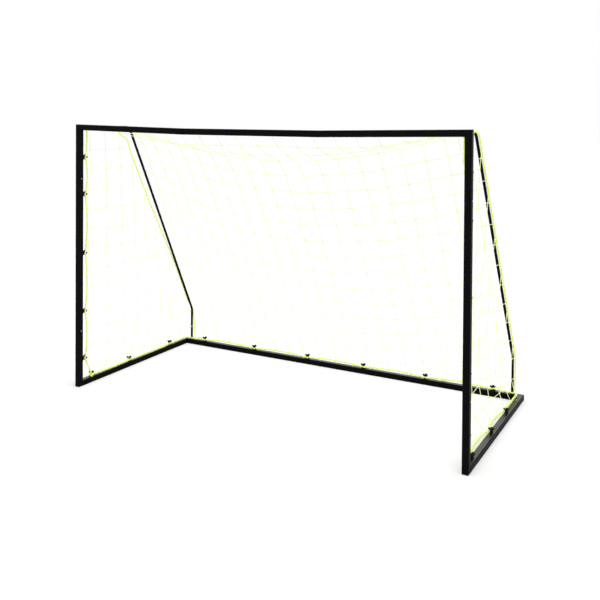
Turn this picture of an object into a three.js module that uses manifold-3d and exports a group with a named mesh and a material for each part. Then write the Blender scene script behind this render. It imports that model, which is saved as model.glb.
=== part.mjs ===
// A garden football goal: a sectional frame of square steel tube, two bent stays and a knotted net.
// Millimetres, +Z up. The mouth faces -Y, and the origin is on the ground under the middle of the goal.
import * as THREE from "three";
import { mergeGeometries, mergeVertices } from "three/addons/utils/BufferGeometryUtils.js";
import Module from "manifold-3d";

const wasm = await Module();
wasm.setup();

// Overall size, over the outer faces of the tubes.
const GOAL_WIDTH = 2450;
const GOAL_HEIGHT = 1600;
const BASE_DEPTH = 1120;

// Square tube of the frame.
const TUBE = 35;
const TUBE_WALL = 1.5;
const TUBE_CORNER = 5;
const SPIGOT_LENGTH = 70; // the reduced end of a tube, inside its neighbour
const SPIGOT_FIT = 0.4; // clearance on each side of a spigot
const SHOULDER = 3; // length of the taper from full size down to the spigot
const CROSSBAR_SAG = 15; // the sectional crossbar hangs this much lower between its two joints

// Where the tubes join: each snap button's place, and how far it is from the open end of the outer tube.
const BUTTON_FROM_END = 35;
const LOWER_POST_BUTTON = 340; // above the ground
const UPPER_POST_BUTTON = 1270; // above the ground
const BAR_BUTTON = 461; // from the middle, on the crossbar and on the rear bar
const SIDE_BUTTON = 115; // in front of the rear face, on the side bars

// Bent round stays from the crossbar down to the rear bar.
const STAY_DIAMETER = 16;
const STAY_WALL = 1.2;
const STAY_BEND = 60; // radius of each bend on the tube's middle line
const STAY_TOP_INSET = 105; // from the outer face of the post
const STAY_FOOT_INSET = 65; // from the outer face of the post
const STAY_RETURN = 381; // how far back the level top of the stay runs, from the mouth
const STAY_KNEE = 255; // height where the slope turns down into the upright foot
const STAY_PIN_RADIUS = 6.2; // the welded pins that the stay's two ends push over
const STAY_PIN_LENGTH = 60;
const STAY_SPIGOT_RADIUS = 6.3;
const STAY_SPIGOT_WALL = 1;
const STAY_SPIGOT_LENGTH = 50;
const STAY_JOINT_SHARE = 0.5; // how far down the slope the two halves of a stay join
const STAY_BUTTON_FROM_END = 20;

// Spring buttons that lock the tube joints.
const FRAME_BUTTON = { pin: 4, proud: 1.5, flange: 6, flangeDepth: 4, hole: 4.4 };
const STAY_BUTTON = { pin: 2.5, proud: 1.2, flange: 3.1, flangeDepth: 4.3, hole: 2.8 };
const BUTTON_FLANGE = 1.5; // thickness of the flange that keeps a button inside the tube

// Plastic plug that closes the bottom of each post.
const CAP_HEIGHT = 8;
const CAP_CHAMFER = 4;
const CAP_PLUG = 22;

// Net hooks: where they stand along each tube, and their own size.
const LOW_POST_HOOKS = [168, 457, 814]; // above the ground
const HIGH_POST_HOOKS = [426, 200]; // below the top of the crossbar
const REAR_HOOKS_EACH_SIDE = 3;
const REAR_HOOK_FROM_CORNER = 181; // the outermost hook, from the outer face
const REAR_HOOK_SPACING = 420;
const SIDE_HOOK_PLACES = { left: [123, 474, 904], right: [113, 461, 773] }; // behind the mouth
const HOOK_THICKNESS = 12;
const HOOK_FOOT_LENGTH = 34;
const HOOK_FOOT_EDGE = 2.5; // height of the foot at its two ends
const HOOK_WAIST_HEIGHT = 11;
const HOOK_WAIST_LENGTH = 9;
const HOOK_NOTCH_HEIGHT = 16; // bottom of the notch between the horns
const HOOK_HEIGHT = 27;
const HOOK_SPREAD = 30; // from horn to horn
const HOOK_HORN = 4;
const POST_HOOK_INSET = 24; // middle of a post's hook, from the post's outer face

// Border rope of the net, beside the hooks' waists.
const ROPE_DIAMETER = 6;
const POST_ROPE_BOW = 16; // how far the net pulls the rope off the line between two hooks
const BAR_ROPE_BOW = 10;
const SIDE_ROPE_BOW = 14;
const ROPE_CORNER_INSET = 48; // the rope turns inside the top corners of the mouth
const ROPE_CORNER_DROP = 150; // from the crossbar's top face to where the rope leaves the post
const ROPE_MEETING = 22; // the mouth's rope ends this far in front of the first hook on a side bar

// Net: five panels of square mesh that hang slack between the ropes and over the stays.
const MESH_PITCH = 165;
const CORD = 2.5;
const NET_OFFSET = 14.5; // from the middle line of the stays out to the net, where it lies over them
const NET_FRONT_GAP = 17; // from the crossbar to the top panel and the ropes on the stays
const PANEL_GAP = 2;
const NET_LEAN = 0.22; // the net hangs forwards this much for each unit that it hangs down
const SIDE_NET_DRAPE = 18; // the side panels hang inwards by this in their middle
// How far the net hangs down midway between the stays: share of the way from crossbar to rear bar, depth.
const NET_HANG = [
  [0, 10],
  [0.08, 58],
  [0.16, 84],
  [0.26, 78],
  [0.38, 62],
  [0.5, 52],
  [0.7, 42],
  [0.88, 22],
  [1, 0],
];

// The left seam's rope has slipped outwards off its stay, and hangs lower at the top.
const SEAM_SLIP = { left: 34, right: 0 };
const SEAM_SLIP_DROP = { left: 56, right: 0 };

const FIT_GAP = 0.3; // between pieces that touch

const SECTION_STEPS = 3; // facets in each rounded tube corner
const ROUND_SIDES = 16;
const ROPE_SIDES = 6;
const BEND_STEPS = 5;
const BUTTON_SIDES = 10;

// What follows from the sizes above.
const HALF_TUBE = TUBE / 2;
const HALF_WIDTH = GOAL_WIDTH / 2;
const SPIGOT_HALF = HALF_TUBE - TUBE_WALL - SPIGOT_FIT;
const POST_X = HALF_WIDTH - HALF_TUBE;
const REAR_Y = BASE_DEPTH - HALF_TUBE;
const CROSSBAR_Z = GOAL_HEIGHT - HALF_TUBE;
const LOWER_POST_END = LOWER_POST_BUTTON + BUTTON_FROM_END;
const UPPER_POST_END = UPPER_POST_BUTTON - BUTTON_FROM_END;
const BAR_END = BAR_BUTTON - BUTTON_FROM_END;
const SIDE_END = BASE_DEPTH - SIDE_BUTTON - BUTTON_FROM_END;
const STAY_RADIUS = STAY_DIAMETER / 2;
const ROPE_RADIUS = ROPE_DIAMETER / 2;
const ROPE_LIFT = HOOK_WAIST_HEIGHT; // rope's middle above the tube
const ROPE_ACROSS = HOOK_THICKNESS / 2 + ROPE_RADIUS + FIT_GAP; // rope's middle beside the hook's

const blackCoat = { color: 0x1a1b1c, roughness: 0.45, metalness: 0.2 };
const blackPlastic = { color: 0x111212, roughness: 0.55, metalness: 0 };
const zincPlate = { color: 0xb4b8bb, roughness: 0.35, metalness: 0.9 };
const netCord = { color: 0xe9f77a, roughness: 0.8, metalness: 0 };
const brightRope = { color: 0xd2f01e, roughness: 0.75, metalness: 0 };

const vec = (x, y, z) => new THREE.Vector3(x, y, z);

// A mesh with its own material.
function named(name, geometry, look) {
  const mesh = new THREE.Mesh(geometry, new THREE.MeshStandardMaterial(look));
  mesh.name = name;
  return mesh;
}

// A closed geometry as a solid that can be joined and cut.
function solidOf(geometry) {
  const bare = geometry.clone();
  bare.deleteAttribute("normal");
  bare.deleteAttribute("uv");
  const merged = mergeVertices(bare, 1e-4);
  return new wasm.Manifold(
    new wasm.Mesh({
      numProp: 3,
      vertProperties: new Float32Array(merged.attributes.position.array),
      triVerts: new Uint32Array(merged.index.array),
    }),
  );
}

function geometryOf(solid) {
  const mesh = solid.getMesh();
  return new THREE.BufferGeometry()
    .setAttribute("position", new THREE.BufferAttribute(mesh.vertProperties, 3))
    .setIndex(new THREE.BufferAttribute(mesh.triVerts, 1));
}

// Outline of a square tube with rounded corners, anticlockwise, about its own middle.
function squareSection(half) {
  const radius = Math.max(TUBE_CORNER - (HALF_TUBE - half), 1);
  const points = [];
  for (let corner = 0; corner < 4; corner++) {
    const turn = (corner * Math.PI) / 2;
    const middle = new THREE.Vector2(half - radius, half - radius).rotateAround(new THREE.Vector2(), turn);
    for (let step = 0; step <= SECTION_STEPS; step++) {
      const angle = turn + (step / SECTION_STEPS) * (Math.PI / 2);
      points.push([middle.x + radius * Math.cos(angle), middle.y + radius * Math.sin(angle)]);
    }
  }
  return points;
}

const roundSection = (sides) => (radius) =>
  Array.from({ length: sides }, (_, i) => {
    const angle = ((i + 0.5) / sides) * 2 * Math.PI;
    return [radius * Math.cos(angle), radius * Math.sin(angle)];
  });

// One ring of points for each station of a route, mitred where the route turns.
// Every station has a point and the section's half width there. Across is square to the route's plane.
function ringsAlong(stations, across, section) {
  const heading = (i) => stations[i + 1].point.clone().sub(stations[i].point).normalize();
  return stations.map(({ point, half }, i) => {
    const before = heading(Math.max(i - 1, 0));
    const after = heading(Math.min(i, stations.length - 2));
    const sideBefore = across.clone().cross(before).normalize();
    const sideAfter = across.clone().cross(after).normalize();
    const side = sideBefore.clone().add(sideAfter).divideScalar(1 + sideBefore.dot(sideAfter));
    return section(half).map(([a, b]) =>
      point.clone().addScaledVector(side, a).addScaledVector(across, b),
    );
  });
}

// A skin over rings. A hollow one closes on its first ring, and a solid one gets two flat ends.
function skin(rings, hollow) {
  const count = rings[0].length;
  const index = [];
  const joins = hollow ? rings.length : rings.length - 1;
  for (let r = 0; r < joins; r++) {
    const here = r * count;
    const next = ((r + 1) % rings.length) * count;
    for (let i = 0; i < count; i++) {
      const j = (i + 1) % count;
      index.push(here + i, here + j, next + j, here + i, next + j, next + i);
    }
  }
  if (!hollow) {
    const last = (rings.length - 1) * count;
    for (let i = 1; i < count - 1; i++) {
      index.push(0, i + 1, i, last, last + i, last + i + 1);
    }
  }
  const flat = rings.flat().flatMap((p) => [p.x, p.y, p.z]);
  return new THREE.BufferGeometry()
    .setAttribute("position", new THREE.BufferAttribute(new Float32Array(flat), 3))
    .setIndex(index);
}

function hollowTube(stations, across, section, wall) {
  const bores = stations.map(({ point, half }) => ({ point, half: half - wall }));
  const outside = ringsAlong(stations, across, section);
  const inside = ringsAlong(bores, across, section).reverse();
  return skin([...outside, ...inside], true);
}

const squareTube = (stations, across) => hollowTube(stations, across, squareSection, TUBE_WALL);

function solidRod(points, across, radius, sides) {
  const stations = points.map((point) => ({ point, half: radius }));
  return skin(ringsAlong(stations, across, roundSection(sides)), false);
}

// A short round pin or drill between two points.
function roundPin(from, to, radius) {
  const heading = to.clone().sub(from).normalize();
  const helper = Math.abs(heading.z) > 0.5 ? vec(1, 0, 0) : vec(0, 0, 1);
  const across = helper.addScaledVector(heading, -helper.dot(heading)).normalize();
  return solidOf(solidRod([from, to], across, radius, ROUND_SIDES));
}

// Stations of a straight tube between two full-size ends, with a spigot at each end that asks for one.
function straightStations(from, to, spigotAtStart, spigotAtEnd) {
  const heading = to.clone().sub(from).normalize();
  const station = (base, along, half) => ({ point: base.clone().addScaledVector(heading, along), half });
  const stations = [];
  if (spigotAtStart) {
    stations.push(station(from, -SPIGOT_LENGTH - SHOULDER, SPIGOT_HALF));
    stations.push(station(from, -SHOULDER, SPIGOT_HALF));
  }
  stations.push(station(from, 0, HALF_TUBE), station(to, 0, HALF_TUBE));
  if (spigotAtEnd) {
    stations.push(station(to, SHOULDER, SPIGOT_HALF));
    stations.push(station(to, SHOULDER + SPIGOT_LENGTH, SPIGOT_HALF));
  }
  return stations;
}

// The drill for a snap button, through the near walls of both tubes of a joint.
function buttonHole(place, outward, button) {
  const start = place.clone().addScaledVector(outward, button.flangeDepth);
  const end = place.clone().addScaledVector(outward, -button.flangeDepth - BUTTON_FLANGE);
  return roundPin(end, start, button.hole);
}

// How far the crossbar hangs below its straight line at a distance from the middle of the goal.
function sagAt(x) {
  const legLength = HALF_WIDTH - TUBE - BAR_END;
  const fromCorner = HALF_WIDTH - TUBE - Math.abs(x);
  return CROSSBAR_SAG * THREE.MathUtils.clamp(fromCorner / legLength, 0, 1);
}

function lowerBySag(geometry) {
  const position = geometry.attributes.position;
  for (let i = 0; i < position.count; i++) {
    position.setZ(i, position.getZ(i) - sagAt(position.getX(i)));
  }
  return geometry;
}

// ---- The stay's route, in the upright plane that it stands in ----

const stayInset = (y) =>
  THREE.MathUtils.mapLinear(y, TUBE, REAR_Y, STAY_TOP_INSET, STAY_FOOT_INSET);
const stayPoint = (y, z) => vec(HALF_WIDTH - stayInset(y), y, z);
const stayHeading = stayPoint(REAR_Y, 0).sub(stayPoint(TUBE, 0)).normalize();
const stayAcross = vec(stayHeading.y, -stayHeading.x, 0); // towards the outside of the goal

// Corners of the route, moved outwards from the tube's middle line: front, top bend, knee and foot.
function stayCorners(offset) {
  const slope = new THREE.Vector2(REAR_Y - STAY_RETURN, STAY_KNEE - CROSSBAR_Z).normalize();
  const outward = new THREE.Vector2(-slope.y, slope.x);
  const topShift = (offset * (1 - outward.y)) / slope.y;
  const kneeShift = (offset * (1 - outward.x)) / slope.x;
  return {
    front: [TUBE, CROSSBAR_Z + offset],
    top: [STAY_RETURN + outward.x * offset + slope.x * topShift, CROSSBAR_Z + offset],
    knee: [REAR_Y + offset, STAY_KNEE + outward.y * offset + slope.y * kneeShift],
    foot: [REAR_Y + offset, TUBE],
  };
}

// A route of straight legs with each corner rounded to a radius.
function roundedRoute(corners, radius) {
  const points = [corners[0]];
  for (let i = 1; i < corners.length - 1; i++) {
    const before = corners[i - 1].clone().sub(corners[i]).normalize();
    const after = corners[i + 1].clone().sub(corners[i]).normalize();
    const half = before.angleTo(after) / 2;
    const start = corners[i].clone().addScaledVector(before, radius / Math.tan(half));
    const end = corners[i].clone().addScaledVector(after, radius / Math.tan(half));
    const toCentre = before.clone().add(after).normalize().multiplyScalar(radius / Math.sin(half));
    const centre = corners[i].clone().add(toCentre);
    for (let step = 0; step <= BEND_STEPS; step++) {
      const ray = start.clone().lerp(end, step / BEND_STEPS).sub(centre);
      points.push(centre.clone().add(ray.setLength(radius)));
    }
  }
  points.push(corners[corners.length - 1]);
  return points;
}

const stayMiddle = stayCorners(0);
const stayJoint = stayPoint(...stayMiddle.top).lerp(stayPoint(...stayMiddle.knee), STAY_JOINT_SHARE);
const staySlope = stayPoint(...stayMiddle.knee).sub(stayPoint(...stayMiddle.top)).normalize();

// ---- Frame tubes, drawn for the right-hand side ----

const postPoint = (z) => vec(POST_X, HALF_TUBE, z);
const sidePoint = (y) => vec(POST_X, y, HALF_TUBE);
const rearPoint = (x) => vec(x, REAR_Y, HALF_TUBE);
const crossbarPoint = (x) => vec(x, HALF_TUBE, CROSSBAR_Z);
const station = (point) => ({ point, half: HALF_TUBE });

// The places of the snap buttons, on the outside faces of the tubes.
function buttonPlaces(postFace) {
  const outside = vec(postFace, 0, 0);
  const onPost = (z) => postPoint(z).addScaledVector(outside, HALF_TUBE);
  const stayButton = stayJoint.clone().addScaledVector(staySlope, -STAY_BUTTON_FROM_END);
  const barZ = CROSSBAR_Z - sagAt(BAR_BUTTON);
  return {
    post_lower_button: { place: onPost(LOWER_POST_BUTTON), outward: outside, size: FRAME_BUTTON },
    post_upper_button: { place: onPost(UPPER_POST_BUTTON), outward: outside, size: FRAME_BUTTON },
    crossbar_button: { place: vec(BAR_BUTTON, TUBE, barZ), outward: vec(0, 1, 0), size: FRAME_BUTTON },
    rear_bar_button: { place: vec(BAR_BUTTON, REAR_Y, TUBE), outward: vec(0, 0, 1), size: FRAME_BUTTON },
    side_bar_button: {
      place: vec(POST_X, BASE_DEPTH - SIDE_BUTTON, TUBE),
      outward: vec(0, 0, 1),
      size: FRAME_BUTTON,
    },
    stay_button: {
      place: stayButton.addScaledVector(stayAcross, -STAY_RADIUS),
      outward: stayAcross.clone().negate(),
      size: STAY_BUTTON,
    },
  };
}

function drilled(solid, places) {
  const drill = (left, { place, outward, size }) => left.subtract(buttonHole(place, outward, size));
  return places.reduce(drill, solid);
}

// Top corner: the upper end of a post and the outer third of the crossbar, mitred and welded.
function topCorner(places) {
  const stations = [postPoint(UPPER_POST_END), postPoint(CROSSBAR_Z), crossbarPoint(BAR_END)].map(station);
  const bent = solidOf(lowerBySag(squareTube(stations, vec(0, 1, 0))));
  const pinStart = stayPoint(TUBE - TUBE_WALL / 2, CROSSBAR_Z);
  const pin = roundPin(pinStart, stayPoint(TUBE + STAY_PIN_LENGTH, CROSSBAR_Z), STAY_PIN_RADIUS);
  return drilled(bent.add(pin), [places.post_upper_button, places.crossbar_button]);
}

// Foot corner: the lower end of a post with the side bar welded to its rear face.
function footCorner(places) {
  const postStations = [postPoint(CAP_HEIGHT), postPoint(LOWER_POST_END)].map(station);
  const stub = solidOf(squareTube(postStations, vec(0, 1, 0)));
  const weld = TUBE - TUBE_WALL / 2;
  const sideStations = straightStations(sidePoint(weld), sidePoint(SIDE_END - SHOULDER), false, true);
  const bar = solidOf(squareTube(sideStations, vec(0, 0, 1)));
  return drilled(stub.add(bar), [places.post_lower_button, places.side_bar_button]);
}

// Rear corner: the outer third of the rear bar, mitred to a short leg that takes the side bar.
function rearCorner(places) {
  const corner = vec(POST_X, REAR_Y, HALF_TUBE);
  const stations = [sidePoint(SIDE_END), corner, rearPoint(BAR_END)].map(station);
  const bent = solidOf(squareTube(stations, vec(0, 0, 1)));
  const pinStart = stayPoint(REAR_Y, TUBE - TUBE_WALL / 2);
  const pin = roundPin(pinStart, stayPoint(REAR_Y, TUBE + STAY_PIN_LENGTH), STAY_PIN_RADIUS);
  return drilled(bent.add(pin), [places.side_bar_button, places.rear_bar_button]);
}

function middlePost(places) {
  const stations = straightStations(
    postPoint(LOWER_POST_END + SHOULDER),
    postPoint(UPPER_POST_END - SHOULDER),
    true,
    true,
  );
  const tube = solidOf(squareTube(stations, vec(0, 1, 0)));
  return drilled(tube, [places.post_lower_button, places.post_upper_button]);
}

function mirrored({ place, outward, size }) {
  const flip = vec(-1, 1, 1);
  return { place: place.clone().multiply(flip), outward: outward.clone().multiply(flip), size };
}

function middleBar(barPoint, across, button, sags) {
  const full = BAR_END - SHOULDER;
  const stations = straightStations(barPoint(-full), barPoint(full), true, true);
  const straight = squareTube(stations, across);
  return drilled(solidOf(sags ? lowerBySag(straight) : straight), [button, mirrored(button)]);
}

const stayTube = (stations) =>
  hollowTube(stations, stayAcross, roundSection(ROUND_SIDES), STAY_WALL);

// Upper half of a stay: level from the crossbar, round the top bend and down the slope to the joint.
function upperStay(places) {
  const start = stayPoint(TUBE + FIT_GAP, CROSSBAR_Z);
  const corners = [start, stayPoint(...stayMiddle.top), stayJoint];
  const stations = roundedRoute(corners, STAY_BEND).map((point) => ({ point, half: STAY_RADIUS }));
  return drilled(solidOf(stayTube(stations)), [places.stay_button]);
}

// Lower half: a spigot inside the upper half, then the slope, the knee and the upright foot.
function lowerStay(places) {
  const gap = STAY_WALL;
  const start = stayJoint.clone().addScaledVector(staySlope, gap);
  const foot = stayPoint(REAR_Y, TUBE + FIT_GAP);
  const route = roundedRoute([start, stayPoint(...stayMiddle.knee), foot], STAY_BEND);
  const tube = solidOf(stayTube(route.map((point) => ({ point, half: STAY_RADIUS }))));
  const spigotEnd = stayJoint.clone().addScaledVector(staySlope, -STAY_SPIGOT_LENGTH);
  const spigotRoot = start.clone().addScaledVector(staySlope, 2 * STAY_WALL);
  const spigotStations = [spigotEnd, spigotRoot].map((point) => ({ point, half: STAY_SPIGOT_RADIUS }));
  const section = roundSection(ROUND_SIDES);
  const spigot = solidOf(hollowTube(spigotStations, stayAcross, section, STAY_SPIGOT_WALL));
  const collarStations = [start, spigotRoot].map((point) => ({ point, half: STAY_RADIUS - STAY_WALL / 2 }));
  const collarWall = STAY_RADIUS - STAY_WALL / 2 - (STAY_SPIGOT_RADIUS - STAY_SPIGOT_WALL);
  const collar = solidOf(hollowTube(collarStations, stayAcross, section, collarWall));
  return drilled(tube.add(spigot).add(collar), [places.stay_button]);
}

// Square plug with a chamfered underside, half of it inside the post.
function footCap() {
  const profile = [
    [0, HALF_TUBE - CAP_CHAMFER],
    [CAP_CHAMFER, HALF_TUBE],
    [CAP_HEIGHT, HALF_TUBE],
    [CAP_HEIGHT, SPIGOT_HALF],
    [CAP_HEIGHT + CAP_PLUG, SPIGOT_HALF],
  ];
  const rings = profile.map(([z, half]) =>
    squareSection(half).map(([a, b]) => vec(POST_X + a, HALF_TUBE + b, z)),
  );
  return skin(rings, false);
}

// Snap button: a round pin with an eased tip, and a flange that stays behind the tube's wall.
function buttonMesh(name, { place, outward, size }) {
  const flangeTop = -size.flangeDepth;
  const eased = size.proud / 2;
  const profile = [
    [0, flangeTop - BUTTON_FLANGE],
    [size.flange, flangeTop - BUTTON_FLANGE],
    [size.flange, flangeTop],
    [size.pin, flangeTop],
    [size.pin, size.proud - eased],
    [size.pin - eased, size.proud],
    [0, size.proud],
  ].map(([x, y]) => new THREE.Vector2(x, y));
  const mesh = named(name, new THREE.LatheGeometry(profile, BUTTON_SIDES), zincPlate);
  mesh.position.copy(place);
  mesh.quaternion.setFromUnitVectors(vec(0, 1, 0), outward);
  return mesh;
}

// ---- Net hooks ----

// A moulded cleat: a foot along the tube, a narrow waist for the net's cords, and two spread horns.
function hookGeometry() {
  const half = [
    [HOOK_FOOT_LENGTH / 2, 0],
    [HOOK_FOOT_LENGTH / 2, HOOK_FOOT_EDGE],
    [HOOK_WAIST_LENGTH / 2, HOOK_WAIST_HEIGHT - HOOK_FOOT_EDGE],
    [HOOK_WAIST_LENGTH / 2, HOOK_WAIST_HEIGHT + HOOK_FOOT_EDGE],
    [HOOK_SPREAD / 2, HOOK_HEIGHT - HOOK_HORN / 2],
    [HOOK_SPREAD / 2 - HOOK_HORN, HOOK_HEIGHT],
  ];
  const mirrored = half.map(([along, outward]) => [-along, outward]).reverse();
  const outline = [...half, [0, HOOK_NOTCH_HEIGHT], ...mirrored];
  const shape = new THREE.Shape(outline.map(([along, outward]) => new THREE.Vector2(along, outward)));
  const cleat = new THREE.ExtrudeGeometry(shape, { depth: HOOK_THICKNESS, bevelEnabled: false });
  return cleat.translate(0, 0, -HOOK_THICKNESS / 2);
}

// A hook with its base at a point, standing outwards, with the tube running along.
function hookMesh(name, base, outward, along) {
  const mesh = named(name, hookGeometry(), blackPlastic);
  const across = along.clone().cross(outward);
  mesh.quaternion.setFromRotationMatrix(new THREE.Matrix4().makeBasis(along, outward, across));
  mesh.position.copy(base);
  return mesh;
}

const postHookX = HALF_WIDTH - POST_HOOK_INSET;
const postHookHeights = [...LOW_POST_HOOKS, ...HIGH_POST_HOOKS.map((drop) => GOAL_HEIGHT - drop)];
const rearHookPlaces = Array.from(
  { length: REAR_HOOKS_EACH_SIDE },
  (_, i) => HALF_WIDTH - REAR_HOOK_FROM_CORNER - i * REAR_HOOK_SPACING,
);

function sideHooks(side) {
  const onPost = postHookHeights.map((z, i) =>
    hookMesh("post_hook_" + side + "_" + (i + 1), vec(postHookX, TUBE, z), vec(0, 1, 0), vec(0, 0, 1)),
  );
  const onSideBar = SIDE_HOOK_PLACES[side].map((y, i) =>
    hookMesh("side_hook_" + side + "_" + (i + 1), vec(POST_X, y, TUBE), vec(0, 0, 1), vec(0, 1, 0)),
  );
  const onRearBar = rearHookPlaces.map((x, i) =>
    hookMesh("rear_hook_" + side + "_" + (i + 1), vec(x, REAR_Y, TUBE), vec(0, 0, 1), vec(1, 0, 0)),
  );
  return [...onPost, ...onSideBar, ...onRearBar];
}

// ---- Border rope ----

// A rope through held points. Between two of them it bows away by its own vector.
function heldRope(holds, across) {
  const steps = 3;
  const points = [holds[0].point];
  for (let i = 1; i < holds.length; i++) {
    for (let step = 1; step <= steps; step++) {
      const share = step / steps;
      const straight = holds[i - 1].point.clone().lerp(holds[i].point, share);
      points.push(straight.addScaledVector(holds[i].bow, 4 * share * (1 - share)));
    }
  }
  return solidRod(points, across, ROPE_RADIUS, ROPE_SIDES);
}

const mirrorHolds = (holds) =>
  holds.map(({ point }, i) => ({
    point: point.clone().multiply(vec(-1, 1, 1)),
    bow: (i === 0 ? vec(0, 0, 0) : holds[i].bow).clone().multiply(vec(-1, 1, 1)),
  }));

// The same holds walked from the last to the first, with each bow kept in its own span.
const reversedHolds = (holds) =>
  holds.map((_, i) => {
    const from = holds.length - 1 - i;
    return { point: holds[from].point, bow: i === 0 ? vec(0, 0, 0) : holds[from + 1].bow };
  });

// Rope round the mouth: from a side bar up one post, along the crossbar and down the other post.
function mouthRope() {
  const y = TUBE + ROPE_LIFT;
  const x = postHookX - ROPE_ACROSS;
  const inward = vec(-POST_ROPE_BOW, 0, 0);
  const down = vec(0, 0, -BAR_ROPE_BOW);
  const straight = vec(0, 0, 0);
  const cornerX = HALF_WIDTH - ROPE_CORNER_INSET;
  const barZ = (barX) => GOAL_HEIGHT - POST_HOOK_INSET - ROPE_ACROSS - sagAt(barX);
  const along = rearHookPlaces.map((barX) => ({ point: vec(barX, y, barZ(barX)), bow: down }));
  const half = (side) => [
    { point: vec(x, SIDE_HOOK_PLACES[side][0] - ROPE_MEETING, y + ROPE_DIAMETER + 2), bow: straight },
    { point: vec(x, y, postHookHeights[0]), bow: straight },
    ...postHookHeights.slice(1).map((z) => ({ point: vec(x, y, z), bow: inward })),
    { point: vec(cornerX, y, GOAL_HEIGHT - ROPE_CORNER_DROP), bow: straight },
    { point: vec(cornerX, y, GOAL_HEIGHT - ROPE_CORNER_DROP / 2), bow: straight },
    { point: vec(cornerX - ROPE_CORNER_INSET, y, GOAL_HEIGHT - ROPE_CORNER_DROP / 4), bow: straight },
    ...along,
  ];
  const left = mirrorHolds(reversedHolds(half("left")));
  left[0].bow = down;
  return heldRope([...half("right"), ...left], vec(0, 1, 0));
}

// Rope on the ground bars: back along one side, across the rear and forward along the other side.
function groundRope() {
  const z = TUBE + ROPE_LIFT;
  const sideX = POST_X - ROPE_ACROSS;
  const rearY = REAR_Y - ROPE_ACROSS;
  const pastFoot = REAR_Y - STAY_RADIUS - ROPE_DIAMETER;
  const up = vec(0, 0, BAR_ROPE_BOW);
  const inward = vec(-SIDE_ROPE_BOW, 0, SIDE_ROPE_BOW / 4);
  const straight = vec(0, 0, 0);
  const half = (side) => [
    { point: vec(sideX, SIDE_HOOK_PLACES[side][0] - ROPE_MEETING / 2, z), bow: straight },
    { point: vec(sideX, SIDE_HOOK_PLACES[side][0], z), bow: straight },
    ...SIDE_HOOK_PLACES[side].slice(1).map((y) => ({ point: vec(sideX, y, z), bow: inward })),
    { point: vec(sideX, pastFoot - TUBE, z), bow: straight },
    { point: vec(sideX - ROPE_DIAMETER, pastFoot, z), bow: straight },
    { point: vec(HALF_WIDTH - 2 * STAY_FOOT_INSET, pastFoot, z), bow: straight },
    ...rearHookPlaces.map((x) => ({ point: vec(x, rearY, z), bow: up })),
  ];
  const left = mirrorHolds(reversedHolds(half("left")));
  left[0].bow = up;
  return heldRope([...half("right"), ...left], vec(0, 0, 1));
}

// Corners of a seam's route: level from the crossbar, down the slope and down behind the stay's foot.
const SEAM_ASIDE = STAY_RADIUS + ROPE_RADIUS + FIT_GAP;
const SEAM_CLEARANCE = ROPE_RADIUS + CORD; // from the rope's middle to the net beside it
function seamCorners(side) {
  const slip = SEAM_SLIP[side];
  const corners = stayCorners(SEAM_ASIDE - ROPE_RADIUS);
  const along = (y, z, aside) => stayPoint(y, z).addScaledVector(stayAcross, aside);
  const drop = SEAM_SLIP_DROP[side];
  return [
    along(TUBE + NET_FRONT_GAP, corners.front[1] - drop, SEAM_ASIDE + slip),
    along(corners.top[0] - drop / 3, corners.top[1] - drop, SEAM_ASIDE + slip),
    along(corners.knee[0], corners.knee[1], SEAM_ASIDE),
    along(corners.foot[0], TUBE + NET_FRONT_GAP, SEAM_ASIDE),
  ];
}

// Seam rope: runs along a stay, just outside it, where the side panel meets the top and back panels.
const seamRope = (side) =>
  solidRod(roundedRoute(seamCorners(side), STAY_BEND), stayAcross, ROPE_RADIUS, ROPE_SIDES);

// ---- Net panels ----

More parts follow.
